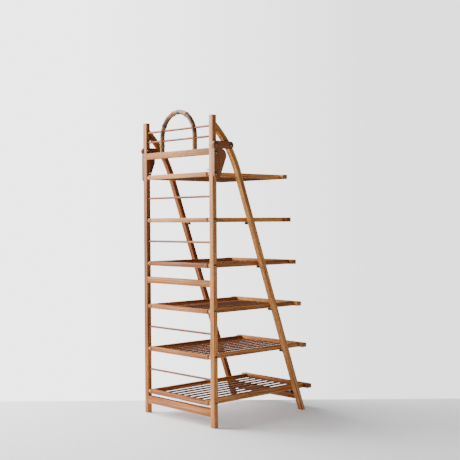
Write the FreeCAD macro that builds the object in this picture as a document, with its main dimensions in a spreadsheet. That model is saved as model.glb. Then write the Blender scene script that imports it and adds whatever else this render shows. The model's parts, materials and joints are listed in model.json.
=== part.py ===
"""Ladder shelf: a folding rack of six slatted trays between a front ladder and a rear leg frame.

Frame: +X to the right as seen from the front, +Y to the back, +Z up.  The origin is on the floor,
under the middle of the rack's overall box.  Sizes are in millimetres and degrees.
"""
import FreeCAD
import Part
import Sketcher
import math
import os
import re

# Driving sizes, each written once.
SIZES = {
    # front ladder
    "ladder_width": 360.0,
    "post_height": 1000.0,
    "post_width": 18.0,
    "post_depth": 16.0,
    "top_rail_drop": 126.0,
    "top_rail_height": 21.0,
    "middle_rail_above_shelf": 71.5,
    "middle_rail_height": 21.0,
    "bottom_rail_gap": 10.0,
    "bottom_rail_height": 25.0,
    "tenon_thickness": 8.0,
    "tenon_length": 10.0,
    "tenon_shoulder": 3.0,
    "mortise_end_gap": 0.5,
    "rung_radius": 3.5,
    "rung_insert": 9.0,
    "upper_rung_drop": 34.0,
    "second_rung_drop": 67.5,
    "rung_above_shelf": 68.0,
    # bent bamboo handle
    "handle_bend_radius": 84.0,
    "handle_tube_radius": 8.0,
    "handle_bend_drop": 60.0,
    "knuckle_radius": 9.0,
    "knuckle_length": 5.0,
    "left_knuckle_drop": 65.0,
    "right_knuckle_drop": 73.0,
    # trays
    "top_shelf_drop": 181.0,
    "lowest_shelf_height": 84.0,
    "first_shelf_depth": 356.0,
    "second_shelf_depth": 373.0,
    "lowest_shelf_overhang": 54.5,
    "shelf_front_overhang": 2.0,
    "shelf_side_gap": 12.0,
    "shelf_rail_height": 15.0,
    "shelf_rail_thickness": 12.0,
    "rear_board_width": 21.0,
    "rear_board_end": 19.0,
    "slat_width": 14.0,
    "slat_thickness": 3.5,
    "slat_seat": 7.0,
    "stub_length": 7.0,
    "stub_edge": 3.5,
    "stub_setback": 2.0,
    # leg frame
    "leg_lean": 20.14,
    "leg_depth": 16.0,
    "leg_pivot_offset": 12.8,
    "leg_bend_radius": 350.0,
    "leg_rest_gap": 0.3,
    "leg_rail_gap": 1.1,
    "leg_rail_height": 20.0,
    "peg_radius": 4.0,
    "peg_reach": 20.0,
    "peg_insert": 10.0,
    "peg_rest_gap": 0.1,
    # links, stop plates and hardware
    "link_drop": 95.0,
    "link_length": 64.0,
    "link_half_width": 12.0,
    "link_thickness": 8.0,
    "link_side_gap": 0.3,
    "plate_rest_gap": 0.3,
    "plate_bulge": 52.0,
    "plate_upper_radius": 22.0,
    "plate_lower_radius": 14.0,
    "plate_screw_drop": 26.0,
    "plate_screw_radius": 2.0,
    "pivot_bolt_radius": 2.5,
    "link_bolt_radius": 3.0,
    "running_clearance": 0.05,
    "fixed_clearance": 0.1,
    "head_radius": 5.0,
    "head_height": 3.0,
    "washer_radius": 6.5,
    "washer_thickness": 1.0,
    "spacer_radius": 6.5,
    "spacer_end_gap": 0.2,
    "screw_end_gap": 0.5,
    # round pins that stick inwards from the posts, just above the top tray
    "post_pin_above_shelf": 8.0,
    "post_pin_radius": 2.0,
    "post_pin_reach": 18.0,
    "post_pin_insert": 8.0,
    "nut_radius": 5.5,
    "nut_thickness": 4.5,
}

# Places worked out from the driving sizes, as formulas.  Whatever sits near the posts' tops is
# measured down from them, and whatever sits near a tray is measured from that tray.
PLACES = {
    "top_rail_base": "post_height - top_rail_drop",
    "upper_rung_height": "post_height - upper_rung_drop",
    "second_rung_height": "post_height - second_rung_drop",
    "handle_bend_height": "post_height - handle_bend_drop",
    "left_knuckle_height": "post_height - left_knuckle_drop",
    "right_knuckle_height": "post_height - right_knuckle_drop",
    "link_height": "post_height - link_drop",
    "top_shelf_height": "post_height - top_shelf_drop",
    "shelf_pitch": "(top_shelf_height - lowest_shelf_height) / 5",
    "middle_rail_base": "top_shelf_height - 3 * shelf_pitch + middle_rail_above_shelf",
    "lowest_tray_base": "lowest_shelf_height - shelf_rail_height",
    "bottom_rail_base": "lowest_tray_base - bottom_rail_gap - bottom_rail_height",
    "post_pin_height": "top_shelf_height + post_pin_above_shelf",
    # half the rack's depth, from the links' round front ends to the lowest tray's rear edge
    "front": "(link_half_width - post_depth / 2 - lowest_reach) / 2",
    "foot_setback": "(post_depth / 2 + link_length"
                    " + (leg_pivot_offset + link_height * sin(leg_lean)) / cos(leg_lean))",
    "lowest_reach": "foot_setback + lowest_shelf_overhang",
    "shelf_depth_step": "(lowest_reach + shelf_front_overhang - second_shelf_depth) / 4",
    "lowest_peg": "lowest_shelf_height - shelf_rail_height - peg_radius - peg_rest_gap",
    "leg_rail_start": "lowest_peg / cos(leg_lean) - peg_radius - leg_rail_gap - leg_rail_height",
    "post_back": "front + post_depth",
    "post_axis": "front + post_depth / 2",
    "outer": "ladder_width / 2",
    "inner": "outer - post_width",
    "shelf_half": "inner - shelf_side_gap",
    "tray_half": "shelf_half - shelf_rail_thickness",
    "shelf_front": "front - shelf_front_overhang",
    "link_axis": "post_axis + link_length",
    # the foot stands where a leg of this lean passes the link's pivot at the set offset
    "foot": "link_axis + (leg_pivot_offset + link_height * sin(leg_lean)) / cos(leg_lean)",
    # the leg's pivot in the leg's own frame, along its straight part
    "pivot_along": "(foot - link_axis) * sin(leg_lean) + link_height * cos(leg_lean)",
    "leg_straight": "pivot_along - sqrt(leg_pivot_offset * (2 * leg_bend_radius - leg_pivot_offset))",
    "plate_top": "link_height - link_half_width - plate_rest_gap",
    "plate_face": "outer + link_thickness",
    "link_face": "outer + link_side_gap + link_thickness",
    "top_pivot": "top_shelf_height - shelf_rail_height / 2",
    "pivot_bite": "3 * shelf_rail_thickness / 4",
    "pivot_bore": "5 * shelf_rail_thickness / 6",
    "stub_thickness": "shelf_rail_thickness / 3",
    "head_top_radius": "0.7 * head_radius",
    # a plate screw ends short of the top rail's tenon inside the post
    "screw_bite": "post_width - tenon_length - mortise_end_gap - screw_end_gap",
}

SHELF_COUNT = 6
SLAT_COUNT = 8
LOWER_RUNG_SHELVES = (2, 3, 5, 6)
PEGGED_SHELVES = range(2, SHELF_COUNT + 1)
KNUCKLE_ANGLES = (48, 96, 139)
SIDES = (("left", -1), ("right", 1))

os.makedirs("parts", exist_ok=True)
doc = FreeCAD.newDocument("ladder_shelf")
nodes = []


def fill_sheet():
    """Put every driving size into the spreadsheet under its own alias."""
    sheet = doc.addObject("Spreadsheet::Sheet", "sizes")
    for row, (name, value) in enumerate(SIZES.items(), start=1):
        sheet.set("A%d" % row, name)
        sheet.set("B%d" % row, repr(value))
        sheet.setAlias("B%d" % row, name)
    doc.recompute()


def formula(text):
    """Spell a formula out in spreadsheet cells."""
    def spell(match):
        word = match.group(0)
        if word in PLACES:
            return "(" + formula(PLACES[word]) + ")"
        if word in SIZES:
            return "sizes." + word
        return word
    return re.sub(r"[a-z_]+[a-z]", spell, str(text))


def bind(item, **properties):
    """Bind properties of a document object to formulas."""
    for name, text in properties.items():
        item.setExpression(name, formula(text))
    return item


def move(item, x, y, z, turn=None):
    """Place an object at a point given as three formulas, with an optional fixed turn."""
    if turn is not None:
        item.Placement = FreeCAD.Placement(FreeCAD.Vector(0, 0, 0), turn)
    for axis, text in zip("xyz", (x, y, z)):
        item.setExpression("Placement.Base." + axis, formula(text))
    return item


ALONG_X = FreeCAD.Rotation(FreeCAD.Vector(0, 1, 0), 90)


def box(name, x, y, z, length, width, height):
    """A block from its lowest corner and its three sizes."""
    block = doc.addObject("Part::Box", name)
    bind(block, Length=length, Width=width, Height=height)
    return move(block, x, y, z)


def round_bar(name, x, y, z, radius, length, turn=ALONG_X):
    """A round bar along +X from its first end, unless another turn is given."""
    bar = doc.addObject("Part::Cylinder", name)
    bind(bar, Radius=radius, Height=length)
    return move(bar, x, y, z, turn)


def joined(name, pieces):
    """One solid made of several that touch or overlap."""
    whole = doc.addObject("Part::MultiFuse", name)
    whole.Shapes = pieces
    return whole


def cut(name, base, tools):
    """A piece with everything in tools removed from it."""
    tool = tools[0]
    if len(tools) > 1:
        tool = doc.addObject("Part::Compound", name + "_cutters")
        tool.Links = tools
    result = doc.addObject("Part::Cut", name)
    result.Base = base
    result.Tool = tool
    return result


def group(name, pieces):
    """Separate solids that share one node."""
    whole = doc.addObject("Part::Compound", name)
    whole.Links = pieces
    return node(whole)


def node(item):
    """Register a finished sub-part under its own name."""
    item.Label = item.Name
    nodes.append(item)
    return item


def at_side(side, inward_edge, size):
    """The lowest x of a span that starts at inward_edge from the middle and runs outwards."""
    return inward_edge if side > 0 else "-(%s) - (%s)" % (inward_edge, size)


def shelf_top(number):
    """Height of a tray's top edge, counted from 1 at the top."""
    return "top_shelf_height - %d * shelf_pitch" % (number - 1)


def shelf_pivot(number):
    return "%s - shelf_rail_height / 2" % shelf_top(number)


def shelf_depth(number):
    if number == 1:
        return "first_shelf_depth"
    return "second_shelf_depth + %d * shelf_depth_step" % (number - 2)


def rung_heights():
    """Heights of the six rungs' axes, from the top one down."""
    lower = ["%s + rung_above_shelf" % shelf_top(number) for number in LOWER_RUNG_SHELVES]
    return ["upper_rung_height", "second_rung_height"] + lower


LADDER_RAILS = ("top_rail", "middle_rail", "bottom_rail")


def ladder_tenon(rail, part, end_gap, reach_from):
    """The tenons of a ladder rail as one bar, or the space for them in the posts."""
    half = "%s + tenon_length + %s" % (reach_from, end_gap)
    return box(part, "-(%s)" % half, "post_axis - tenon_thickness / 2",
               rail + "_base + tenon_shoulder", "2 * (%s)" % half, "tenon_thickness",
               rail + "_height - 2 * tenon_shoulder")


def make_posts():
    """Two square posts, with mortises for the rails and holes for rungs and bolts."""
    for word, side in SIDES:
        name = word + "_post"
        blank = box(name + "_blank", at_side(side, "inner", "post_width"), "front", 0,
                    "post_width", "post_depth", "post_height")
        holes = [ladder_tenon(rail, name + "_" + rail + "_mortise", "mortise_end_gap", "inner")
                 for rail in LADDER_RAILS]
        for number, height in enumerate(rung_heights(), start=1):
            holes.append(round_bar("%s_rung_hole_%d" % (name, number), "-inner - rung_insert",
                                   "post_axis", height, "rung_radius + fixed_clearance",
                                   "2 * (inner + rung_insert)"))
        for number in range(1, SHELF_COUNT + 1):
            holes.append(round_bar("%s_pivot_hole_%d" % (name, number), "-outer", "post_axis",
                                   shelf_pivot(number), "pivot_bolt_radius + fixed_clearance",
                                   "2 * outer"))
        holes.append(round_bar(name + "_link_hole", "-outer", "post_axis", "link_height",
                               "link_bolt_radius + fixed_clearance", "2 * outer"))
        holes.append(round_bar(name + "_screw_hole",
                               at_side(side, "outer - screw_bite", "screw_bite"),
                               "post_axis", "link_height - plate_screw_drop",
                               "plate_screw_radius + fixed_clearance", "screw_bite"))
        holes.append(round_bar(name + "_pin_hole",
                               at_side(side, "inner", "post_pin_insert"), "post_axis",
                               "post_pin_height", "post_pin_radius + fixed_clearance",
                               "post_pin_insert"))
        node(cut(name, blank, holes))


def make_ladder_rails():
    """Three flat rails between the posts, flush with them, each with a tenon at both ends."""
    for rail in LADDER_RAILS:
        body = box(rail + "_body", "-inner", "front", rail + "_base",
                   "2 * inner", "post_depth", rail + "_height")
        tenon = ladder_tenon(rail, rail + "_tenon", "0", "inner")
        node(joined(rail, [body, tenon]))


def make_rungs():
    """Six thin round rungs let into blind holes in the posts."""
    for number, height in enumerate(rung_heights(), start=1):
        node(round_bar("rung_%d" % number, "-inner - rung_insert", "post_axis", height,
                       "rung_radius", "2 * (inner + rung_insert)"))


def make_handle():
    """A bamboo cane bent into an upside-down U that stands on the top rail.

    The two highest rungs pass through both of its legs.
    """
    foot = "top_rail_base + top_rail_height"
    upright = FreeCAD.Rotation()
    pieces = [round_bar("handle_leg_" + word, "%d * handle_bend_radius" % side, "post_axis", foot,
                        "handle_tube_radius", "handle_bend_height - (%s)" % foot, upright)
              for word, side in SIDES]
    bend = doc.addObject("Part::Torus", "handle_bend")
    bind(bend, Radius1="handle_bend_radius", Radius2="handle_tube_radius")
    bend.Angle3 = 180
    move(bend, 0, "post_axis", "handle_bend_height", FreeCAD.Rotation(FreeCAD.Vector(1, 0, 0), 90))
    pieces.append(bend)
    for number, angle in enumerate(KNUCKLE_ANGLES, start=1):
        # the ring's axis follows the bend, a quarter turn ahead of its own angle
        turn = FreeCAD.Rotation(FreeCAD.Vector(0, 1, 0), -angle)
        out = "(handle_bend_radius * cos(%d) + knuckle_length / 2 * sin(%d))" % (angle, angle)
        rise = "(handle_bend_radius * sin(%d) - knuckle_length / 2 * cos(%d))" % (angle, angle)
        pieces.append(round_bar("handle_knuckle_%d" % number, out, "post_axis",
                                "handle_bend_height + " + rise, "knuckle_radius",
                                "knuckle_length", turn))
    for word, side in SIDES:
        pieces.append(round_bar("handle_leg_knuckle_" + word, "%d * handle_bend_radius" % side,
                                "post_axis", word + "_knuckle_height - knuckle_length / 2",
                                "knuckle_radius", "knuckle_length", upright))
    cane = joined("handle_cane", pieces)
    holes = [round_bar("handle_rung_hole_%d" % number, "-outer", "post_axis", height,
                       "rung_radius + fixed_clearance", "2 * outer")
             for number, height in enumerate(rung_heights()[:2], start=1)]
    node(cut("bamboo_handle", cane, holes))


def plate_outline(body):
    """Teardrop outline: straight front edge, flat top, full rear bulge, small round lower end."""
    plane = next(item for item in body.Origin.OriginFeatures if item.Role == "YZ_Plane")
    sketch = body.newObject("Sketcher::SketchObject", body.Name + "_outline")
    sketch.AttachmentSupport = (plane, [""])
    sketch.MapMode = "FlatFace"
    upper = SIZES["plate_upper_radius"]
    lower = SIZES["plate_lower_radius"]
    link_height = SIZES["post_height"] - SIZES["link_drop"]
    tray_height = SIZES["post_height"] - SIZES["top_shelf_drop"]
    top = link_height - SIZES["link_half_width"] - SIZES["plate_rest_gap"]
    high = FreeCAD.Vector(SIZES["plate_bulge"] - upper, top - upper, 0)
    low = FreeCAD.Vector(lower, tray_height - SIZES["shelf_rail_height"] / 2, 0)
    span = high - low
    tilt = math.atan2(span.y, span.x) - math.acos((lower - upper) / span.Length)
    touch = FreeCAD.Vector(math.cos(tilt), math.sin(tilt), 0)
    normal = FreeCAD.Vector(0, 0, 1)
    corner = FreeCAD.Vector(0, top, 0)
    crown = FreeCAD.Vector(high.x, top, 0)
    waist = FreeCAD.Vector(0, low.y, 0)
    edges = [
        Part.LineSegment(waist, corner),
        Part.LineSegment(corner, crown),
        Part.ArcOfCircle(Part.Circle(high, normal, upper), tilt, math.pi / 2),
        Part.LineSegment(high + touch * upper, low + touch * lower),
        Part.ArcOfCircle(Part.Circle(low, normal, lower), math.pi, 2 * math.pi + tilt),
    ]
    for edge in edges:
        sketch.addGeometry(edge, False)
    rule = Sketcher.Constraint
    sketch.addConstraint([
        rule("Coincident", 0, 2, 1, 1), rule("Horizontal", 1), rule("Vertical", 0),
        rule("Tangent", 1, 2, 2, 2), rule("Tangent", 2, 1, 3, 1), rule("Tangent", 3, 2, 4, 2),
        rule("Tangent", 4, 1, 0, 1), rule("PointOnObject", 0, 1, -2),
    ])
    driving = (
        ("Radius", (2,), upper, "plate_upper_radius"),
        ("Radius", (4,), lower, "plate_lower_radius"),
        ("DistanceY", (-1, 1, 0, 2), top, "plate_top"),
        ("DistanceX", (-1, 1, 2, 3), high.x, "plate_bulge - plate_upper_radius"),
        ("DistanceY", (-1, 1, 4, 3), low.y, "top_pivot"),
    )
    for kind, places, value, text in driving:
        index = sketch.addConstraint(rule(kind, *places, value))
        sketch.setExpression("Constraints[%d]" % index, formula(text))
    return sketch


def make_stop_plates():
    """Teardrop plates on the posts' outer faces: the links rest on their flat tops."""
    for word, side in SIDES:
        name = word + "_stop_plate"
        body = doc.addObject("PartDesign::Body", name + "_blank")
        sketch = plate_outline(body)
        pad = body.newObject("PartDesign::Pad", name + "_pad")
        pad.Profile = sketch
        bind(pad, Length="link_thickness")
        body.Tip = pad
        sketch.Visibility = False
        move(body, at_side(side, "outer", "link_thickness"), "front", 0)
        doc.recompute()
        holes = [round_bar(name + "_bolt_hole", "-plate_face", "post_axis", "top_pivot",
                           "pivot_bolt_radius + fixed_clearance", "2 * plate_face"),
                 round_bar(name + "_screw_hole", "-plate_face", "post_axis",
                           "link_height - plate_screw_drop",
                           "plate_screw_radius + fixed_clearance", "2 * plate_face")]
        node(cut(name, body, holes))


def bolt(name, side, seat, y, z, radius, shank):
    """A bolt along X with its washer and head outside the face at seat, its shank inwards."""
    shaft = round_bar(name + "_shank", at_side(side, "%s - (%s)" % (seat, shank), shank), y, z,
                      radius, shank)
    washer = round_bar(name + "_washer", at_side(side, seat, "washer_thickness"), y, z,
                       "washer_radius", "washer_thickness")
    head = doc.addObject("Part::Cone", name + "_head")
    bind(head, Radius1="head_radius", Radius2="head_top_radius", Height="head_height")
    edge = "(%s + washer_thickness)" % seat
    turn = FreeCAD.Rotation(FreeCAD.Vector(0, 1, 0), 90 * side)
    move(head, edge if side > 0 else "-" + edge, y, z, turn)
    return joined(name, [shaft, washer, head])


def nut(name, side, face, y, z):
    """A hexagon nut against an inner face, around a link bolt."""
    body = doc.addObject("Part::Prism", name + "_blank")
    body.Polygon = 6
    bind(body, Circumradius="nut_radius", Height="nut_thickness")
    start = "%s - nut_thickness" % face
    move(body, at_side(side, start, "nut_thickness"), y, z, ALONG_X)
    hole = round_bar(name + "_hole", at_side(side, start, "nut_thickness"), y, z,
                     "link_bolt_radius + fixed_clearance", "nut_thickness")
    return cut(name, body, [hole])


def spacer(stem, side, height):
    """A round spacer on a pivot bolt, between a post and a tray."""
    length = "(shelf_side_gap - 2 * spacer_end_gap)"
    start = at_side(side, "shelf_half + spacer_end_gap", length)
    blank = round_bar("spacer_ring_" + stem, start, "post_axis", height, "spacer_radius", length)
    bore = round_bar("spacer_bore_" + stem, start, "post_axis", height,
                     "pivot_bolt_radius + fixed_clearance", length)
    return cut("spacer_" + stem, blank, [bore])


def make_hardware():
    """Bolts, screws, spacers and nuts that stay with the ladder."""
    reach = "shelf_side_gap + pivot_bite"
    lower_bolts = []
    top_bolts = []
    screws = []
    link_bolts = []
    link_nuts = []
    spacers = []
    pins = []
    for word, side in SIDES:
        for number in range(1, SHELF_COUNT + 1):
            height = shelf_pivot(number)
            stem = "%s_%d" % (word, number)
            if number == 1:
                top_bolts.append(bolt("pivot_bolt_" + stem, side, "plate_face", "post_axis", height,
                                      "pivot_bolt_radius", reach + " + post_width + link_thickness"))
            else:
                lower_bolts.append(bolt("pivot_bolt_" + stem, side, "outer", "post_axis", height,
                                        "pivot_bolt_radius", reach + " + post_width"))
            spacers.append(spacer(stem, side, height))
        pin_length = "(post_pin_reach + post_pin_insert)"
        pins.append(round_bar("post_pin_" + word, at_side(side, "inner - post_pin_reach", pin_length),
                              "post_axis", "post_pin_height", "post_pin_radius", pin_length))
        screws.append(bolt("plate_screw_" + word, side, "plate_face", "post_axis",
                           "link_height - plate_screw_drop", "plate_screw_radius",
                           "link_thickness + screw_bite"))
        link_bolts.append(link_bolt("front_bolt_" + word, side, "post_axis"))
        link_nuts.append(nut("front_nut_" + word, side, "inner", "post_axis", "link_height"))
    group("shelf_pivot_bolts", lower_bolts)
    group("top_shelf_pivot_bolts", top_bolts)
    group("shelf_spacers", spacers)
    group("post_pins", pins)
    group("stop_plate_screws", screws)
    group("link_front_bolts", link_bolts)
    group("link_front_nuts", link_nuts)


def link_bolt(name, side, y):
    """A link's pivot bolt: head clear of the link, shank through the wood and its nut."""
    shank = "2 * link_side_gap + link_thickness + post_width + nut_thickness"
    return bolt(name, side, "(link_face + link_side_gap)", y, "link_height", "link_bolt_radius",
                shank)


def make_links():
    """Two flat bars with round ends, each joining a post to a leg outside both."""
    for word, side in SIDES:
        name = word + "_link"
        start = at_side(side, "outer + link_side_gap", "link_thickness")
        bar = box(name + "_bar", start, "post_axis", "link_height - link_half_width",
                  "link_thickness", "link_length", "2 * link_half_width")
        ends = [round_bar("%s_end_%d" % (name, index), start, y, "link_height",
                          "link_half_width", "link_thickness")
                for index, y in enumerate(("post_axis", "link_axis"), start=1)]
        bores = [round_bar("%s_bore_%d" % (name, index), start, y, "link_height",
                           "link_bolt_radius + running_clearance", "link_thickness")
                 for index, y in enumerate(("post_axis", "link_axis"), start=1)]
        node(cut(name, joined(name + "_blank", [bar] + ends), bores))


def peg_place(number):
    """Y and Z of a peg's axis: on the leg's middle line, just under its tray's side rail."""
    height = "(%s - shelf_rail_height - peg_radius - peg_rest_gap)" % shelf_top(number)
    return "foot - %s * tan(leg_lean)" % height, height


def in_leg_frame(item, x, across="0", along="0"):
    """Lean a piece with the legs, its own corner set across and along the leg from its foot."""
    item.Placement = FreeCAD.Placement(FreeCAD.Vector(0, 0, 0),
                                       FreeCAD.Rotation(FreeCAD.Vector(1, 0, 0), 1))
    item.setExpression("Placement.Rotation.Angle", formula("leg_lean"))
    y = "foot + (%s) * cos(leg_lean) - (%s) * sin(leg_lean)" % (across, along)
    z = "(%s) * sin(leg_lean) + (%s) * cos(leg_lean)" % (across, along)
    return move(item, x, y, z)


def make_legs():
    """Two legs, straight below and curved forwards above, that lean on the posts' backs."""
    for word, side in SIDES:
        name = word + "_leg"
        half = "leg_depth / 2"
        straight = box(name + "_straight", 0, "-" + half, "-4 * leg_depth", "post_width",
                       "leg_depth", "leg_straight + 4 * leg_depth")
        outer_round = round_bar(name + "_outer_round", 0, "-leg_bend_radius", "leg_straight",
                                "leg_bend_radius + " + half, "post_width")
        inner_round = round_bar(name + "_inner_round", 0, "-leg_bend_radius", "leg_straight",
                                "leg_bend_radius - " + half, "post_width")
        ring = cut(name + "_ring", outer_round, [inner_round])
        quarter = box(name + "_quarter", 0, "-leg_bend_radius", "leg_straight", "post_width",
                      "leg_bend_radius + leg_depth", "leg_bend_radius + leg_depth")
        curve = doc.addObject("Part::Common", name + "_curve")
        curve.Base = ring
        curve.Tool = quarter
        blank = joined(name + "_blank", [straight, curve])
        in_leg_frame(blank, at_side(side, "inner", "post_width"))
        cutters = [
            box(name + "_floor", "-ladder_width", "front", "-post_height", "2 * ladder_width",
                "2 * (foot - front)", "post_height"),
            box(name + "_plumb_cut", "-ladder_width", "post_back + leg_rest_gap - post_height",
                "leg_depth", "2 * ladder_width", "post_height", "2 * post_height"),
            round_bar(name + "_link_hole", "-outer", "link_axis", "link_height",
                      "link_bolt_radius + fixed_clearance", "2 * outer"),
            leg_rail_tenon(name + "_mortise", "mortise_end_gap"),
        ]
        for number in PEGGED_SHELVES:
            y, z = peg_place(number)
            cutters.append(round_bar("%s_peg_hole_%d" % (name, number), "-inner - peg_insert",
                                     y, z, "peg_radius + fixed_clearance",
                                     "2 * (inner + peg_insert)"))
        node(cut(name, blank, cutters))


def leg_rail_tenon(name, end_gap):
    """The leg rail's two tenons as one bar that leans with the legs."""
    half = "(inner + tenon_length + %s)" % end_gap
    bar = box(name, 0, 0, 0, "2 * " + half, "tenon_thickness",
              "leg_rail_height - 2 * tenon_shoulder")
    return in_leg_frame(bar, "-" + half, "-tenon_thickness / 2",
                        "leg_rail_start + tenon_shoulder")


def make_leg_rail():
    """One flat rail between the legs near the floor."""
    body = box("leg_rail_body", 0, 0, 0, "2 * inner", "leg_depth", "leg_rail_height")
    in_leg_frame(body, "-inner", "-leg_depth / 2", "leg_rail_start")
    node(joined("leg_bottom_rail", [body, leg_rail_tenon("leg_rail_tenon", "0")]))


def make_leg_hardware():
    """Pegs under all trays but the top one, and the rear link bolts and nuts."""
    pegs = []
    bolts = []
    nuts = []
    for word, side in SIDES:
        for number in PEGGED_SHELVES:
            y, z = peg_place(number)
            length = "(peg_reach + peg_insert)"
            start = at_side(side, "inner - peg_reach", length)
            pegs.append(round_bar("peg_%s_%d" % (word, number), start, y, z, "peg_radius", length))
        bolts.append(link_bolt("rear_bolt_" + word, side, "link_axis"))
        nuts.append(nut("rear_nut_" + word, side, "inner", "link_axis", "link_height"))
    group("shelf_pegs", pegs)
    group("link_rear_bolts", bolts)
    group("link_rear_nuts", nuts)


def stub(name, x, y, number, length, width):
    """A short tenon in a tray's joint, or the space for it."""
    base = "%s - shelf_rail_height + stub_edge" % shelf_top(number)
    return box(name, x, y, base, length, width, "shelf_rail_height - 2 * stub_edge")


def make_shelf(number):
    """One tray: two side rails, a front rail, a wide rear board and slats let into both."""
    name = "shelf_%d" % number
    base = "%s - shelf_rail_height" % shelf_top(number)
    side_length = "(%s - rear_board_width)" % shelf_depth(number)
    board_front = "shelf_front + %s" % side_length
    for word, side in SIDES:
        rail = "%s_%s_rail" % (name, word)
        x = at_side(side, "tray_half", "shelf_rail_thickness")
        body = box(rail + "_body", x, "shelf_front", base, "shelf_rail_thickness", side_length,
                   "shelf_rail_height")
        tongue = stub(rail + "_stub", at_side(side, "tray_half + stub_thickness", "stub_thickness"),
                      board_front, number, "stub_thickness", "stub_length")
        front_socket = stub(rail + "_socket", "-tray_half - stub_length",
                            "shelf_front + stub_setback", number,
                            "2 * (tray_half + stub_length)", "stub_thickness")
        bore = round_bar(rail + "_bore", at_side(side, "shelf_half - pivot_bore", "pivot_bore"),
                         "post_axis", shelf_pivot(number),
                         "pivot_bolt_radius + running_clearance", "pivot_bore")
        node(cut(rail, joined(rail + "_blank", [body, tongue]), [front_socket, bore]))
    front_body = box(name + "_front_body", "-tray_half", "shelf_front", base, "2 * tray_half",
                     "shelf_rail_thickness", "shelf_rail_height")
    front_tongue = stub(name + "_front_stub", "-tray_half - stub_length",
                        "shelf_front + stub_setback", number, "2 * (tray_half + stub_length)",
                        "stub_thickness")
    front_seat = box(name + "_front_seat", "-tray_half",
                     "shelf_front + shelf_rail_thickness - slat_seat", base, "2 * tray_half",
                     "slat_seat", "slat_thickness")
    front_blank = joined(name + "_front_blank", [front_body, front_tongue])
    node(cut(name + "_front_rail", front_blank, [front_seat]))
    board = box(name + "_board_body", "-shelf_half - rear_board_end", board_front, base,
                "2 * (shelf_half + rear_board_end)", "rear_board_width", "shelf_rail_height")
    board_cuts = [box(name + "_board_seat", "-tray_half", board_front, base, "2 * tray_half",
                      "slat_seat", "slat_thickness")]
    for word, side in SIDES:
        board_cuts.append(stub("%s_board_socket_%s" % (name, word),
                               at_side(side, "tray_half + stub_thickness", "stub_thickness"),
                               board_front, number, "stub_thickness", "stub_length"))
    node(cut(name + "_rear_board", board, board_cuts))
    slats = []
    gap = "((2 * tray_half - %d * slat_width) / %d)" % (SLAT_COUNT, SLAT_COUNT + 1)
    slat_front = "shelf_front + shelf_rail_thickness - slat_seat"
    slat_length = "%s - shelf_rail_thickness + 2 * slat_seat" % side_length
    for index in range(SLAT_COUNT):
        x = "-tray_half + %d * %s + %d * slat_width" % (index + 1, gap, index)
        slats.append(box("%s_slat_%d" % (name, index + 1), x, slat_front, base, "slat_width",
                         slat_length, "slat_thickness"))
    group(name + "_slats", slats)


def check_and_write():
    """Refuse any failed object, then write one file per node."""
    doc.recompute()
    for item in doc.Objects:
        if "Invalid" in item.State or "Error" in item.State:
            raise RuntimeError("%s failed: %s" % (item.Name, item.State))
    for item in nodes:
        if item.Shape.isNull() or not item.Shape.isValid() or not item.Shape.Solids:
            raise RuntimeError("%s has no valid shape" % item.Name)
        item.Shape.exportStep("parts/%s.step" % item.Label)
    print("%d nodes" % len(nodes))


fill_sheet()
make_posts()
make_ladder_rails()
make_rungs()
make_handle()
make_stop_plates()
make_hardware()
make_links()
make_legs()
make_leg_rail()
make_leg_hardware()
for shelf_number in range(1, SHELF_COUNT + 1):
    make_shelf(shelf_number)
check_and_write()
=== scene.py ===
"""Ladder shelf: oiled hardwood ladder, legs and slatted trays, a bent bamboo handle and aged metal.

Everything is in metres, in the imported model's own frame: +X to the right seen from the front, +Y to
the back, +Z up, with the origin on the floor under the middle of the rack.
"""
import bmesh
import bpy
import json
import math
import random
from mathutils import Matrix, Vector


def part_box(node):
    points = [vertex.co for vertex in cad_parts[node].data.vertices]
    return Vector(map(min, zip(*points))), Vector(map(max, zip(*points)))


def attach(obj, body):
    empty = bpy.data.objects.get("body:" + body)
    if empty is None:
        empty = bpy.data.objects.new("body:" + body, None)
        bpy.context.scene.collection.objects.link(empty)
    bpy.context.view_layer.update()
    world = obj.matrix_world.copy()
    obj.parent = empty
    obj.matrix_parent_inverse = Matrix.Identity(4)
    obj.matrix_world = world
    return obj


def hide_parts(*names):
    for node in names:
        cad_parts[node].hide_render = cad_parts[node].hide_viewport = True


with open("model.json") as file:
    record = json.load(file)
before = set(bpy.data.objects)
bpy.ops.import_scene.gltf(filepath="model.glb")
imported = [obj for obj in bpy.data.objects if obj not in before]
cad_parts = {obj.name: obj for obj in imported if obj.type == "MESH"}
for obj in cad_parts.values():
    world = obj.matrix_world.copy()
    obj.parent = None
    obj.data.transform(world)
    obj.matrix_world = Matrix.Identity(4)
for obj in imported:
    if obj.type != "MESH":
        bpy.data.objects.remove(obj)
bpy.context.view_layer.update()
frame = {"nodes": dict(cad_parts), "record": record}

MM = 0.001
BODIES = frame["record"]["behaviour"]["bodies"]
JOINTS = {joint["name"]: joint for joint in frame["record"]["behaviour"]["joints"]}
TRAYS = range(1, 7)
SIDES = (("left", -1), ("right", 1))


def body_of(node):
    """The body a named part belongs to."""
    return next(body for body, names in BODIES.items() if node in names)


# ---------------------------------------------------------------- materials

def linear(code):
    """An sRGB hex colour as a linear RGBA tuple."""
    parts = [int(code[i:i + 2], 16) / 255 for i in (1, 3, 5)]
    spread = [v / 12.92 if v <= 0.04045 else ((v + 0.055) / 1.055) ** 2.4 for v in parts]
    return (*spread, 1.0)


def add(tree, kind, settings=None, inputs=None):
    """Add one node with its settings, and its inputs as plain values or sockets to link from."""
    item = tree.nodes.new(kind)
    for name, value in (settings or {}).items():
        setattr(item, name, value)
    for name, value in (inputs or {}).items():
        if isinstance(value, bpy.types.NodeSocket):
            tree.links.new(value, item.inputs[name])
        else:
            item.inputs[name].default_value = value
    return item


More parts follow.
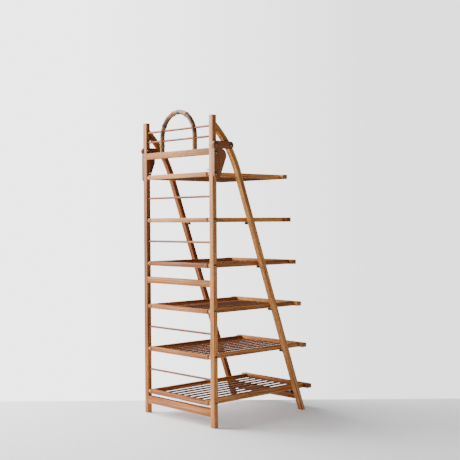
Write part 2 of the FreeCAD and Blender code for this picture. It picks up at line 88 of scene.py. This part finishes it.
def new_material(name):
    """An empty material with its output and shader joined up."""
    material = bpy.data.materials.new(name)
    material.use_nodes = True
    tree = material.node_tree
    tree.nodes.clear()
    shader = add(tree, "ShaderNodeBsdfPrincipled")
    add(tree, "ShaderNodeOutputMaterial", None, {"Surface": shader.outputs["BSDF"]})
    return material, tree, shader


def ramp(tree, factor, stops):
    """A colour ramp through (place, hex) stops."""
    item = add(tree, "ShaderNodeValToRGB", None, {"Fac": factor})
    steps = item.color_ramp.elements
    while len(steps) < len(stops):
        steps.new(0.5)
    for step, (place, code) in zip(steps, stops):
        step.position = place
        step.color = linear(code)
    return item.outputs["Color"]


def scaled(tree, vector, along, across):
    """A position in millimetres turned into a pattern's own units, longer along the grain."""
    size = (1 / along, 1 / across, 1 / across)
    item = add(tree, "ShaderNodeVectorMath", {"operation": "MULTIPLY"}, {0: vector, 1: size})
    return item.outputs["Vector"]


def oiled_wood(name, stops, streak, end, roughness):
    """Straight-grained hardwood under a rubbed oil finish.

    It gives the eye long soft bands of early and late wood, fine dark pores drawn out along the
    piece, a slight change from stick to stick, and darker, thirstier end grain.
    """
    material, tree, shader = new_material(name)
    grain = add(tree, "ShaderNodeAttribute", {"attribute_name": "grain"}).outputs["Vector"]
    tint = add(tree, "ShaderNodeAttribute", {"attribute_name": "tint"}).outputs["Fac"]
    ends = add(tree, "ShaderNodeAttribute", {"attribute_name": "end_grain"}).outputs["Fac"]
    # bands of growth about 5 mm apart that wander over 180 mm of length
    bands = add(tree, "ShaderNodeTexNoise", None,
                {"Vector": scaled(tree, grain, 180, 5), "Scale": 1.0, "Detail": 3.0,
                 "Roughness": 0.55})
    # pores, drawn 1.2 mm apart because real ones, near 0.2 mm, are too fine to show
    pores = add(tree, "ShaderNodeTexNoise", None,
                {"Vector": scaled(tree, grain, 30, 1.2), "Scale": 1.0, "Detail": 2.0,
                 "Roughness": 0.7})
    shift = add(tree, "ShaderNodeMath", {"operation": "MULTIPLY_ADD"},
                {0: tint, 1: 0.16, 2: bands.outputs["Fac"]})
    colour = ramp(tree, shift.outputs["Value"], stops)
    fleck = add(tree, "ShaderNodeMapRange", None,
                {"Value": pores.outputs["Fac"], "From Min": 0.5, "From Max": 0.75,
                 "To Min": 0.0, "To Max": 0.55})
    flecked = add(tree, "ShaderNodeMix", {"data_type": "RGBA"},
                  {0: fleck.outputs["Result"], 6: colour, 7: linear(streak)})
    # oil soaks in and darkens cut ends, by less than half
    soaked = add(tree, "ShaderNodeMath", {"operation": "MULTIPLY"}, {0: ends, 1: 0.4})
    whole = add(tree, "ShaderNodeMix", {"data_type": "RGBA"},
                {0: soaked.outputs["Value"], 6: flecked.outputs[2], 7: linear(end)})
    gloss = add(tree, "ShaderNodeMapRange", None,
                {"Value": pores.outputs["Fac"], "From Min": 0.3, "From Max": 0.8,
                 "To Min": roughness, "To Max": roughness + 0.2})
    bump = add(tree, "ShaderNodeBump", None,
               {"Strength": 0.35, "Distance": 0.15 * MM, "Height": pores.outputs["Fac"]})
    tree.links.new(whole.outputs[2], shader.inputs["Base Color"])
    tree.links.new(gloss.outputs["Result"], shader.inputs["Roughness"])
    tree.links.new(bump.outputs["Normal"], shader.inputs["Normal"])
    shader.inputs["IOR"].default_value = 1.46
    return material


def burnt_bamboo(name, marks):
    """Bamboo cane, bent over a flame: a smooth straw-coloured rind with scorched patches.

    Each mark is a soft scorched place as (x, z, reach) in millimetres.
    """
    material, tree, shader = new_material(name)
    place = add(tree, "ShaderNodeTexCoord").outputs["Object"]
    ragged = add(tree, "ShaderNodeTexNoise", None,
                 {"Vector": place, "Scale": 90.0, "Detail": 3.0, "Roughness": 0.6})
    grain = add(tree, "ShaderNodeAttribute", {"attribute_name": "grain"}).outputs["Vector"]
    fibre = add(tree, "ShaderNodeTexNoise", None,
                {"Vector": scaled(tree, grain, 40, 1.5), "Scale": 1.0, "Detail": 2.0})
    rind = ramp(tree, fibre.outputs["Fac"], ((0.3, "#764619"), (0.55, "#9C672E"), (0.8, "#B98543")))
    scorch = None
    for x, z, reach in marks:
        centre = (x * MM, CANE_Y, z * MM)
        away = add(tree, "ShaderNodeVectorMath", {"operation": "DISTANCE"}, {0: place, 1: centre})
        rough = add(tree, "ShaderNodeMath", {"operation": "MULTIPLY_ADD"},
                    {0: ragged.outputs["Fac"], 1: 14 * MM, 2: away.outputs["Value"]})
        near = add(tree, "ShaderNodeMapRange", {"interpolation_type": "SMOOTHSTEP"},
                   {"Value": rough.outputs["Value"], "From Min": reach * MM,
                    "From Max": (reach + 7) * MM, "To Min": 0.78, "To Max": 0.0})
        here = near.outputs["Result"]
        if scorch is not None:
            here = add(tree, "ShaderNodeMath", {"operation": "MAXIMUM"},
                       {0: scorch, 1: here}).outputs["Value"]
        scorch = here
    seam = add(tree, "ShaderNodeAttribute", {"attribute_name": "knuckle"}).outputs["Fac"]
    ringed = add(tree, "ShaderNodeMix", {"data_type": "RGBA"},
                 {0: seam, 6: rind, 7: linear("#8A5F33")})
    burnt = add(tree, "ShaderNodeMix", {"data_type": "RGBA"},
                {0: scorch, 6: ringed.outputs[2], 7: linear("#3C1F10")})
    bump = add(tree, "ShaderNodeBump", None,
               {"Strength": 0.2, "Distance": 0.1 * MM, "Height": fibre.outputs["Fac"]})
    tree.links.new(burnt.outputs[2], shader.inputs["Base Color"])
    tree.links.new(bump.outputs["Normal"], shader.inputs["Normal"])
    shader.inputs["Roughness"].default_value = 0.5
    shader.inputs["IOR"].default_value = 1.48
    return material


def aged_metal(name, bright, dull, roughness):
    """Metal hardware darkened with age, rubbed brighter where it is handled."""
    material, tree, shader = new_material(name)
    place = add(tree, "ShaderNodeTexCoord").outputs["Object"]
    # tarnish in patches about 2 mm across
    tarnish = add(tree, "ShaderNodeTexNoise", None,
                  {"Vector": place, "Scale": 500.0, "Detail": 3.0, "Roughness": 0.6})
    colour = ramp(tree, tarnish.outputs["Fac"], ((0.35, dull), (0.65, bright)))
    gloss = add(tree, "ShaderNodeMapRange", None,
                {"Value": tarnish.outputs["Fac"], "From Min": 0.3, "From Max": 0.7,
                 "To Min": roughness + 0.15, "To Max": roughness})
    tree.links.new(colour, shader.inputs["Base Color"])
    tree.links.new(gloss.outputs["Result"], shader.inputs["Roughness"])
    shader.inputs["Metallic"].default_value = 1.0
    return material


# ---------------------------------------------------------------- shared shaping

def islands(bm):
    """Lists of vertices, one for each separate stick in a mesh."""
    left = set(bm.verts)
    groups = []
    while left:
        queue = [left.pop()]
        found = []
        while queue:
            vert = queue.pop()
            found.append(vert)
            for edge in vert.link_edges:
                other = edge.other_vert(vert)
                if other in left:
                    left.discard(other)
                    queue.append(other)
        groups.append(found)
    return sorted(groups, key=lambda group: tuple(min(v.co for v in group)))


def lay_grain(piece, along, centre_line=None):
    """Give each stick a direction of grain in millimetres, a tint of its own and its end grain.

    along is the grain's direction. centre_line, where given, turns a point into its own place
    along and across a bent piece.
    """
    mesh = piece.data
    side = Vector((0, 0, 1)) if abs(along.z) < 0.5 else Vector((1, 0, 0))
    across = along.cross(side).normalized()
    other = along.cross(across)
    chance = random.Random(piece.name)
    bm = bmesh.new()
    bm.from_mesh(mesh)
    grain = bm.verts.layers.float_vector.new("grain")
    tint = bm.verts.layers.float.new("tint")
    ends = bm.faces.layers.float.new("end_grain")
    for group in islands(bm):
        offset = Vector(chance.uniform(0, 900) for _ in range(3))
        shade = chance.uniform(-1, 1)
        for vert in group:
            spot = vert.co
            if centre_line is None:
                place = Vector((spot.dot(along), spot.dot(across), spot.dot(other)))
            else:
                place = centre_line(spot)
            vert[grain] = place / MM + offset
            vert[tint] = shade
    for face in bm.faces:
        face[ends] = 1.0 if abs(face.normal.dot(along)) > 0.9 else 0.0
    bm.to_mesh(mesh)
    bm.free()


def finish_piece(piece, node, material):
    """Hang a finished piece on its body in place of the part that it stands for."""
    if piece.name not in bpy.context.scene.objects:
        bpy.context.collection.objects.link(piece)
    piece.data.materials.clear()
    piece.data.materials.append(material)
    piece.data.set_sharp_from_angle(angle=math.radians(28))
    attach(piece, body_of(node))
    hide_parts(node)
    return piece


def sanded(node, along, material, radius=0.7 * MM, centre_line=None):
    """A wooden part with its long edges sanded round, as hand-finished sticks have them."""
    mesh = frame["nodes"][node].data.copy()
    bm = bmesh.new()
    bm.from_mesh(mesh)
    bmesh.ops.remove_doubles(bm, verts=bm.verts, dist=1e-6)
    bmesh.ops.dissolve_limit(bm, angle_limit=math.radians(0.5), verts=bm.verts, edges=bm.edges)
    long_edges = [edge for edge in bm.edges if len(edge.link_faces) == 2
                  and edge.calc_length() > 4 * MM and edge.is_convex
                  and edge.calc_face_angle(0) > math.radians(60)]
    bmesh.ops.bevel(bm, geom=long_edges, offset=radius, segments=2, profile=0.5,
                    affect="EDGES", clamp_overlap=True)
    bm.to_mesh(mesh)
    bm.free()
    piece = bpy.data.objects.new(node + ".sanded", mesh)
    lay_grain(piece, along, centre_line)
    return finish_piece(piece, node, material)


def new_tree(name, inputs):
    """A Geometry Nodes tree with named size inputs, its input node and its output node."""
    tree = bpy.data.node_groups.new(name, "GeometryNodeTree")
    tree.interface.new_socket("Geometry", in_out="INPUT", socket_type="NodeSocketGeometry")
    for label, kind in inputs:
        tree.interface.new_socket(label, in_out="INPUT", socket_type=kind)
    tree.interface.new_socket("Geometry", in_out="OUTPUT", socket_type="NodeSocketGeometry")
    return tree, add(tree, "NodeGroupInput").outputs, add(tree, "NodeGroupOutput")


def tree_mesh(holder, tree, values):
    """The plain mesh that a tree makes on an object from its size inputs."""
    bpy.context.collection.objects.link(holder)
    modifier = holder.modifiers.new("grow", "NODES")
    modifier.node_group = tree
    sockets = {item.name: item.identifier for item in tree.interface.items_tree
               if item.in_out == "INPUT"}
    for label, value in values.items():
        modifier[sockets[label]] = value
    graph = bpy.context.evaluated_depsgraph_get()
    mesh = bpy.data.meshes.new_from_object(holder.evaluated_get(graph))
    holder.modifiers.remove(modifier)
    return mesh


def grown(name, tree, values, source=None):
    """A new object with the mesh that a tree makes, on a mesh of its own or a given one."""
    holder = bpy.data.objects.new(name, source or bpy.data.meshes.new(name + "_seed"))
    holder.data = tree_mesh(holder, tree, values)
    return holder


def grown_from_curve(name, tree, values, line):
    """As grown, from a curve: its result is put in a mesh object of its own."""
    source = bpy.data.objects.new(name + "_line", line)
    mesh = tree_mesh(source, tree, values)
    bpy.data.objects.remove(source)
    piece = bpy.data.objects.new(name, mesh)
    bpy.context.collection.objects.link(piece)
    return piece


NUMBER = "NodeSocketFloat"
PLACE = "NodeSocketVector"


# ---------------------------------------------------------------- slats

SLAT_COUNT = 8
SLAT_WIDTH = 14 * MM


def slat_tree(material):
    """A row of slats with softened long edges: one outline drawn along Y, repeated along X."""
    tree, size, out = new_tree("slat_row", (
        ("Corner", PLACE), ("Width", NUMBER), ("Thickness", NUMBER), ("Length", NUMBER),
        ("Pitch", NUMBER), ("Count", "NodeSocketInt"), ("Edge", NUMBER)))
    outline = add(tree, "GeometryNodeCurvePrimitiveQuadrilateral", None,
                  {"Width": size["Width"], "Height": size["Thickness"]})
    soft = add(tree, "GeometryNodeFilletCurve", {"mode": "POLY"},
               {"Curve": outline.outputs["Curve"], "Radius": size["Edge"], "Count": 2})
    end = add(tree, "ShaderNodeCombineXYZ", None, {"Y": size["Length"]})
    line = add(tree, "GeometryNodeCurvePrimitiveLine", None, {"End": end.outputs["Vector"]})
    bar = add(tree, "GeometryNodeCurveToMesh", None,
              {"Curve": line.outputs["Curve"], "Profile Curve": soft.outputs["Curve"],
               "Fill Caps": True})
    step = add(tree, "ShaderNodeCombineXYZ", None, {"X": size["Pitch"]})
    row = add(tree, "GeometryNodeMeshLine", {"mode": "OFFSET"},
              {"Count": size["Count"], "Start Location": size["Corner"],
               "Offset": step.outputs["Vector"]})
    spread = add(tree, "GeometryNodeInstanceOnPoints", None,
                 {"Points": row.outputs["Mesh"], "Instance": bar.outputs["Mesh"]})
    solid = add(tree, "GeometryNodeRealizeInstances", None,
                {"Geometry": spread.outputs["Instances"]})
    coated = add(tree, "GeometryNodeSetMaterial", None,
                 {"Geometry": solid.outputs["Geometry"], "Material": material})
    tree.links.new(coated.outputs["Geometry"], out.inputs[0])
    return tree


def lay_slats(material):
    """The eight slats of each tray, in the room its own slats take up."""
    tree = slat_tree(material)
    for number in TRAYS:
        node = "shelf_%d_slats" % number
        low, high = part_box(node)
        thickness = high[2] - low[2]
        corner = (low[0] + SLAT_WIDTH / 2, low[1], low[2] + thickness / 2)
        piece = grown(node + ".row", tree, {
            "Corner": corner, "Width": SLAT_WIDTH, "Thickness": thickness,
            "Length": high[1] - low[1], "Count": SLAT_COUNT, "Edge": 0.6 * MM,
            "Pitch": (high[0] - low[0] - SLAT_WIDTH) / (SLAT_COUNT - 1)})
        lay_grain(piece, Vector((0, 1, 0)))
        finish_piece(piece, node, material)


# ---------------------------------------------------------------- bolts

def bolt_tree(material):
    """Bolts on points: a shank, a thin washer and a domed head, turned outwards on either side."""
    tree, size, out = new_tree("domed_bolts", (
        ("Head", NUMBER), ("Dome", NUMBER), ("Washer", NUMBER), ("Washer thickness", NUMBER),
        ("Shank", NUMBER), ("Reach", NUMBER)))
    points = size["Geometry"]
    half = add(tree, "ShaderNodeMath", {"operation": "MULTIPLY"},
               {0: size["Washer thickness"], 1: 0.5}).outputs["Value"]
    washer = add(tree, "GeometryNodeMeshCylinder", None,
                 {"Vertices": 32, "Radius": size["Washer"], "Depth": size["Washer thickness"]})
    up = add(tree, "ShaderNodeCombineXYZ", None, {"Z": half}).outputs["Vector"]
    washer = add(tree, "GeometryNodeTransform", None,
                 {"Geometry": washer.outputs["Mesh"], "Translation": up})
    flat = add(tree, "ShaderNodeMath", {"operation": "DIVIDE"},
               {0: size["Dome"], 1: size["Head"]}).outputs["Value"]
    squash = add(tree, "ShaderNodeCombineXYZ", None, {"X": 1.0, "Y": 1.0, "Z": flat})
    top = add(tree, "ShaderNodeCombineXYZ", None, {"Z": size["Washer thickness"]})
    ball = add(tree, "GeometryNodeMeshUVSphere", None,
               {"Segments": 24, "Rings": 16, "Radius": size["Head"]})
    head = add(tree, "GeometryNodeTransform", None,
               {"Geometry": ball.outputs["Mesh"], "Translation": top.outputs["Vector"],
                "Scale": squash.outputs["Vector"]})
    sunk = add(tree, "ShaderNodeMath", {"operation": "MULTIPLY"},
               {0: size["Reach"], 1: -0.5}).outputs["Value"]
    down = add(tree, "ShaderNodeCombineXYZ", None, {"Z": sunk}).outputs["Vector"]
    rod = add(tree, "GeometryNodeMeshCylinder", None,
              {"Vertices": 16, "Radius": size["Shank"], "Depth": size["Reach"]})
    rod = add(tree, "GeometryNodeTransform", None,
              {"Geometry": rod.outputs["Mesh"], "Translation": down})
    one = add(tree, "GeometryNodeJoinGeometry")
    for part in (washer, head, rod):
        tree.links.new(part.outputs["Geometry"], one.inputs[0])
    # a bolt is drawn pointing up, and is laid over to point out of its own side
    side = add(tree, "GeometryNodeInputPosition")
    split = add(tree, "ShaderNodeSeparateXYZ", None, {"Vector": side.outputs["Position"]})
    sign = add(tree, "ShaderNodeMath", {"operation": "SIGN"}, {0: split.outputs["X"]})
    turn = add(tree, "ShaderNodeMath", {"operation": "MULTIPLY"},
               {0: sign.outputs["Value"], 1: math.pi / 2})
    lean = add(tree, "ShaderNodeCombineXYZ", None, {"Y": turn.outputs["Value"]})
    spread = add(tree, "GeometryNodeInstanceOnPoints", None,
                 {"Points": points, "Instance": one.outputs["Geometry"],
                  "Rotation": lean.outputs["Vector"]})
    solid = add(tree, "GeometryNodeRealizeInstances", None,
                {"Geometry": spread.outputs["Instances"]})
    coated = add(tree, "GeometryNodeSetMaterial", None,
                 {"Geometry": solid.outputs["Geometry"], "Material": material})
    tree.links.new(coated.outputs["Geometry"], out.inputs[0])
    return tree


def set_bolts(material):
    """Every bolt and screw head, each seated on the face it holds."""
    tree = bolt_tree(material)
    pivots = {number: JOINTS["shelf_%d_tilt" % number]["pos_m"] for number in TRAYS}
    front = JOINTS["link_fold"]["pos_m"]
    rear = JOINTS["leg_fold"]["pos_m"]
    screw_low, screw_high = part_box("stop_plate_screws")
    screw = (0, (screw_low[1] + screw_high[1]) / 2, (screw_low[2] + screw_high[2]) / 2)
    sets = (
        ("shelf_pivot_bolts", [pivots[n] for n in TRAYS if n > 1], 2.5),
        ("top_shelf_pivot_bolts", [pivots[1]], 2.5),
        ("stop_plate_screws", [screw], 2.0),
        ("link_front_bolts", [front], 3.0),
        ("link_rear_bolts", [rear], 3.0),
    )
    head, dome, washer, sheet = 5 * MM, 3 * MM, 6.5 * MM, 1 * MM
    for node, places, shank in sets:
        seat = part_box(node)[1][0] - dome - sheet
        seed = bpy.data.meshes.new(node + "_places")
        seed.from_pydata([(s * seat, y, z) for _, s in SIDES for _, y, z in places], [], [])
        inner = min_reach(node)
        piece = grown(node + ".domed", tree, {
            "Head": head, "Dome": dome, "Washer": washer, "Washer thickness": sheet,
            "Shank": shank * MM, "Reach": seat - inner}, seed)
        finish_piece(piece, node, material)


def min_reach(node):
    """How near the middle the inner ends of a set of bolts come."""
    return min(abs(v.co.x) for v in frame["nodes"][node].data.vertices)


# ---------------------------------------------------------------- bamboo handle

HANDLE_LOW, HANDLE_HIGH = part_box("bamboo_handle")
CANE_Y = (HANDLE_LOW[1] + HANDLE_HIGH[1]) / 2
CANE = 8 * MM
# the bend's radius, and the height of its centre
BEND = 84 * MM
CROWN = 940 * MM
BEND_STEPS = 32
# each knuckle's distance along the cane, in millimetres from its left foot
KNUCKLES = (("left_leg", 21.0), ("left_shoulder", 90.0), ("crown", 152.0),
            ("right_shoulder", 222.0), ("right_leg", 316.0))


def cane_tree(material):
    """A cane swept along its bent line, swelling to a ridge at each knuckle."""
    tree, size, out = new_tree("bamboo_cane", tuple(
        [("Radius", NUMBER), ("Swelling", NUMBER), ("Ridge", NUMBER)]
        + [(name, NUMBER) for name, _ in KNUCKLES]))
    fine = add(tree, "GeometryNodeResampleCurve", {"mode": "LENGTH"},
               {"Curve": size["Geometry"], "Length": 1.2 * MM})
    along = add(tree, "GeometryNodeSplineParameter").outputs["Length"]
    total = None
    for name, _ in KNUCKLES:
        gap = add(tree, "ShaderNodeMath", {"operation": "SUBTRACT"}, {0: along, 1: size[name]})
        gap = add(tree, "ShaderNodeMath", {"operation": "ABSOLUTE"}, {0: gap.outputs["Value"]})
        ring = add(tree, "ShaderNodeMapRange", {"interpolation_type": "SMOOTHSTEP"},
                   {"Value": gap.outputs["Value"], "From Min": 0.0, "From Max": size["Ridge"],
                    "To Min": 1.0, "To Max": 0.0})
        here = ring.outputs["Result"]
        if total is not None:
            here = add(tree, "ShaderNodeMath", {"operation": "MAXIMUM"},
                       {0: total, 1: here}).outputs["Value"]
        total = here
    swell = add(tree, "ShaderNodeMath", {"operation": "MULTIPLY_ADD"},
                {0: total, 1: size["Swelling"], 2: size["Radius"]})
    named = add(tree, "GeometryNodeStoreNamedAttribute", {"data_type": "FLOAT", "domain": "POINT"},
                {"Geometry": fine.outputs["Curve"], "Name": "knuckle", "Value": total})
    named = add(tree, "GeometryNodeStoreNamedAttribute", {"data_type": "FLOAT", "domain": "POINT"},
                {"Geometry": named.outputs["Geometry"], "Name": "run", "Value": along})
    thick = add(tree, "GeometryNodeSetCurveRadius", None,
                {"Curve": named.outputs["Geometry"], "Radius": swell.outputs["Value"]})
    ring = add(tree, "GeometryNodeCurvePrimitiveCircle", {"mode": "RADIUS"},
               {"Resolution": 32, "Radius": 1.0})
    tube = add(tree, "GeometryNodeCurveToMesh", None,
               {"Curve": thick.outputs["Curve"], "Profile Curve": ring.outputs["Curve"],
                "Scale": swell.outputs["Value"], "Fill Caps": True})
    solid = add(tree, "GeometryNodeRealizeInstances", None, {"Geometry": tube.outputs["Mesh"]})
    coated = add(tree, "GeometryNodeSetMaterial", None,
                 {"Geometry": solid.outputs["Geometry"], "Material": material})
    tree.links.new(coated.outputs["Geometry"], out.inputs[0])
    return tree


def bend_cane(material):
    """The handle: two straight legs and a half-round bend, standing on the top rail."""
    foot = HANDLE_LOW[2]
    points = [(-BEND, CANE_Y, foot)]
    for step in range(BEND_STEPS + 1):
        angle = math.pi * (1 - step / BEND_STEPS)
        points.append((BEND * math.cos(angle), CANE_Y, CROWN + BEND * math.sin(angle)))
    points.append((BEND, CANE_Y, foot))
    line = bpy.data.curves.new("cane_line", "CURVE")
    line.dimensions = "3D"
    spline = line.splines.new("POLY")
    spline.points.add(len(points) - 1)
    for spot, place in zip(spline.points, points):
        spot.co = (*place, 1.0)
    tree = cane_tree(material)
    values = {"Radius": CANE, "Swelling": 1.5 * MM, "Ridge": 6 * MM}
    values.update({name: run * MM for name, run in KNUCKLES})
    holder = grown_from_curve("bamboo_handle.bent", tree, values, line)
    lay_cane_grain(holder)
    finish_piece(holder, "bamboo_handle", material)


def lay_cane_grain(piece):
    """Grain round the cane: its run along the bend, and its place across it."""
    mesh = piece.data
    run = mesh.attributes["run"].data
    grain = mesh.attributes.new("grain", "FLOAT_VECTOR", "POINT")
    for index, vert in enumerate(mesh.vertices):
        length = run[index].value
        along_bend = min(max((length - (CROWN - HANDLE_LOW[2])) / BEND, 0.0), math.pi)
        angle = math.pi - along_bend
        rise = vert.co.z - CROWN
        out = vert.co.x * math.cos(angle) + rise * math.sin(angle) - BEND
        if along_bend <= 0.0 or along_bend >= math.pi:
            out = abs(vert.co.x) - BEND
        grain.data[index].vector = Vector((length, vert.co.y - CANE_Y, out)) / MM


# ---------------------------------------------------------------- make the rack

hardwood = oiled_wood(
    "Oiled hardwood, rubbed satin",
    ((0.30, "#7E4218"), (0.48, "#AB672D"), (0.62, "#C9843F"), (0.80, "#DFA460")),
    "#5A3216", "#5E3A1E", 0.46)
dark_hardwood = oiled_wood(
    "Dark red hardwood, oiled",
    ((0.30, "#683820"), (0.55, "#8C5131"), (0.80, "#A8683F")), "#331A0C", "#351D10", 0.42)
rung_wood = oiled_wood(
    "Turned hardwood dowel, oiled",
    ((0.30, "#6E3A1A"), (0.55, "#9A5E30"), (0.80, "#B67C46")), "#4A2A12", "#4B2A18", 0.5)
peg_wood = oiled_wood(
    "Hardwood peg, dark stained",
    ((0.30, "#1E120C"), (0.55, "#2E1C13"), (0.80, "#3E281B")), "#100906", "#160D08", 0.5)
pale_wood = oiled_wood(
    "Pale hardwood spacer, oiled",
    ((0.30, "#A8794C"), (0.55, "#C4966A"), (0.80, "#D8B084")), "#6B4526", "#6B4526", 0.5)
brass = aged_metal("Brass hardware, aged", "#B3A27C", "#5A4C36", 0.32)
steel = aged_metal("Steel pins and nuts, dulled", "#8A8C90", "#3E4044", 0.38)
# the slats' colours are darker than the rim's: this darkening is painted shade, standing in for the
# shade that falls on the floor of each tray
painted_shade_slat_wood = oiled_wood(
    "Brown hardwood slats, oiled",
    ((0.30, "#4E2812"), (0.50, "#6E3E1F"), (0.65, "#86502A"), (0.80, "#9C6538")),
    "#2E170A", "#351D10", 0.45)
bamboo = burnt_bamboo("Bamboo cane, flame bent", (
    (-62, 996, 26), (70, 1002, 28), (84, 962, 17), (-84, 962, 19), (8, 1024, 15)))

ALONG_X = Vector((1, 0, 0))
ALONG_Y = Vector((0, 1, 0))
ALONG_Z = Vector((0, 0, 1))

LEAN = math.radians(20.14)
LEG_RADIUS = 350 * MM
UP_LEG = Vector((0, -math.sin(LEAN), math.cos(LEAN)))
OUT_LEG = Vector((0, math.cos(LEAN), math.sin(LEAN)))
LINK_REAR = Vector(JOINTS["leg_fold"]["pos_m"])
PIVOT_OFFSET = 12.8 * MM
FOOT = Vector((0, LINK_REAR.y + (PIVOT_OFFSET + LINK_REAR.z * math.sin(LEAN)) / math.cos(LEAN), 0))
BEND_START = ((LINK_REAR - FOOT).dot(UP_LEG)
              - math.sqrt(PIVOT_OFFSET * (2 * LEG_RADIUS - PIVOT_OFFSET)))


def leg_line(spot):
    """A point's place along and across a leg, straight below and bent forwards above."""
    along = (spot - FOOT).dot(UP_LEG)
    out = (spot - FOOT).dot(OUT_LEG)
    if along > BEND_START:
        turn = math.atan2(along - BEND_START, out + LEG_RADIUS)
        out = math.hypot(along - BEND_START, out + LEG_RADIUS) - LEG_RADIUS
        along = BEND_START + LEG_RADIUS * turn
    return Vector((along, spot.x, out))


def make_ladder():
    """Posts, rails, rungs, plates and the handle."""
    for word, _ in SIDES:
        sanded(word + "_post", ALONG_Z, hardwood)
        sanded(word + "_stop_plate", ALONG_Z, dark_hardwood, 0.9 * MM)
    for name in ("top_rail", "middle_rail", "bottom_rail"):
        sanded(name, ALONG_X, hardwood)
    for number in TRAYS:
        sanded("rung_%d" % number, ALONG_X, rung_wood)
    sanded("shelf_spacers", ALONG_X, pale_wood)
    bend_cane(bamboo)


def make_legs():
    """Rear legs, their low rail, the pegs and the two links."""
    for word, _ in SIDES:
        sanded(word + "_leg", UP_LEG, hardwood, centre_line=leg_line)
        sanded(word + "_link", ALONG_Y, dark_hardwood, 0.9 * MM)
    sanded("shelf_pegs", ALONG_X, peg_wood)
    sanded("leg_bottom_rail", ALONG_X, hardwood)


def make_trays():
    """The rim of each tray, then its slats."""
    for number in TRAYS:
        stem = "shelf_%d_" % number
        sanded(stem + "left_rail", ALONG_Y, hardwood)
        sanded(stem + "right_rail", ALONG_Y, hardwood)
        sanded(stem + "front_rail", ALONG_X, hardwood)
        sanded(stem + "rear_board", ALONG_X, hardwood)
    lay_slats(painted_shade_slat_wood)


def make_small_metal():
    """Domed bolts, and the nuts and pins in dull steel."""
    set_bolts(brass)
    for node in ("link_front_nuts", "link_rear_nuts", "post_pins"):
        for slot in frame["nodes"][node].material_slots:
            slot.material = steel


make_ladder()
make_legs()
make_trays()
make_small_metal()


# ---------------------------------------------------------------- camera, floor and light

EYE = (2.3417, -2.1721, 0.6620)
HEADING = Vector((-0.73215, 0.68107, -0.01020)).normalized()
ROLL = -0.0068
LENS = 71.52
# the floor ends behind the rack, as a table top does, and runs on out of sight elsewhere
FLOOR_START, FLOOR_END, FLOOR_SIDE = -9, 3.37, 10
FLOOR_DROP = 0.5 * MM
# the wall's brightness where it is seen, at its left and its right, and what it adds as light
WALL_NEAR = 3.8
WALL_FAR = 2.3
ROOM_GLOW = 0.15
# lamps, in watts
WINDOW = 230
CEILING = 190

def place_camera():
    """Eye level a little over half the rack's height, off to its right front corner."""
    camera = bpy.data.cameras.new("camera")
    camera.sensor_width = 36.0
    camera.lens = LENS
    eye = bpy.data.objects.new("camera", camera)
    bpy.context.collection.objects.link(eye)
    eye.rotation_mode = "QUATERNION"
    turn = HEADING.to_track_quat("-Z", "Y").to_matrix() @ Matrix.Rotation(ROLL, 3, "Z")
    eye.rotation_quaternion = turn.to_quaternion()
    eye.location = EYE
    bpy.context.scene.camera = eye


def flat_sheet(name, corners, code, roughness):
    """A plain sheet for the floor."""
    mesh = bpy.data.meshes.new(name)
    mesh.from_pydata(corners, [], [range(len(corners))])
    item = bpy.data.objects.new(name, mesh)
    bpy.context.collection.objects.link(item)
    material, _, shader = new_material(name)
    shader.inputs["Base Color"].default_value = linear(code)
    shader.inputs["Roughness"].default_value = roughness
    # a faint glow of its own evens out the falling off of the lamps
    shader.inputs["Emission Color"].default_value = linear(code)
    shader.inputs["Emission Strength"].default_value = 0.22
    mesh.materials.append(material)
    return item


def lay_floor():
    """A plain pale floor, square to the view."""
    forward = Vector((HEADING.x, HEADING.y, 0)).normalized()
    right = Vector((forward.y, -forward.x, 0))
    middle = Vector((EYE[0], EYE[1], 0))
    corners = [middle + forward * depth + right * side - Vector((0, 0, FLOOR_DROP))
               for depth, side in ((FLOOR_START, -FLOOR_SIDE), (FLOOR_START, FLOOR_SIDE),
                                   (FLOOR_END, FLOOR_SIDE), (FLOOR_END, -FLOOR_SIDE))]
    flat_sheet("pale_floor", corners, "#EFEFF1", 0.8)


def light(name, place, aim, size, power, code):
    """A large soft lamp."""
    lamp = bpy.data.lights.new(name, "AREA")
    lamp.shape = "RECTANGLE"
    lamp.size, lamp.size_y = size
    lamp.energy = power
    lamp.color = linear(code)[:3]
    item = bpy.data.objects.new(name, lamp)
    item.location = place
    item.rotation_mode = "QUATERNION"
    item.rotation_quaternion = (Vector(aim) - Vector(place)).to_track_quat("-Z", "Y")
    bpy.context.collection.objects.link(item)


def light_room():
    """Daylight from a window at the left front, and a pale wall that is brighter towards it."""
    world = bpy.data.worlds.new("pale room")
    world.use_nodes = True
    tree = world.node_tree
    tree.nodes.clear()
    ray = add(tree, "ShaderNodeTexCoord").outputs["Generated"]
    away = add(tree, "ShaderNodeVectorMath", {"operation": "DOT_PRODUCT"},
               {0: ray, 1: (0.681, 0.732, 0.0)}).outputs["Value"]
    wall = add(tree, "ShaderNodeMapRange", None,
               {"Value": away, "From Min": -0.15, "From Max": 0.15, "To Min": WALL_NEAR,
                "To Max": WALL_FAR}).outputs["Result"]
    seen = add(tree, "ShaderNodeLightPath").outputs["Is Camera Ray"]
    strength = add(tree, "ShaderNodeMix", {"data_type": "FLOAT"},
                   {0: seen, 2: ROOM_GLOW, 3: wall}).outputs[0]
    backdrop = add(tree, "ShaderNodeBackground", None,
                   {"Color": linear("#FAFAFD"), "Strength": strength})
    add(tree, "ShaderNodeOutputWorld", None, {"Surface": backdrop.outputs["Background"]})
    bpy.context.scene.world = world
    light("window", (-2.6, -2.4, 1.9), (0, 0, 0.5), (1.6, 2.0), WINDOW, "#FFFBF4")
    light("ceiling", (-1.7, -0.5, 2.8), (0, 0.1, 0), (2.0, 2.4), CEILING, "#FFFFFF")


place_camera()
lay_floor()
light_room()
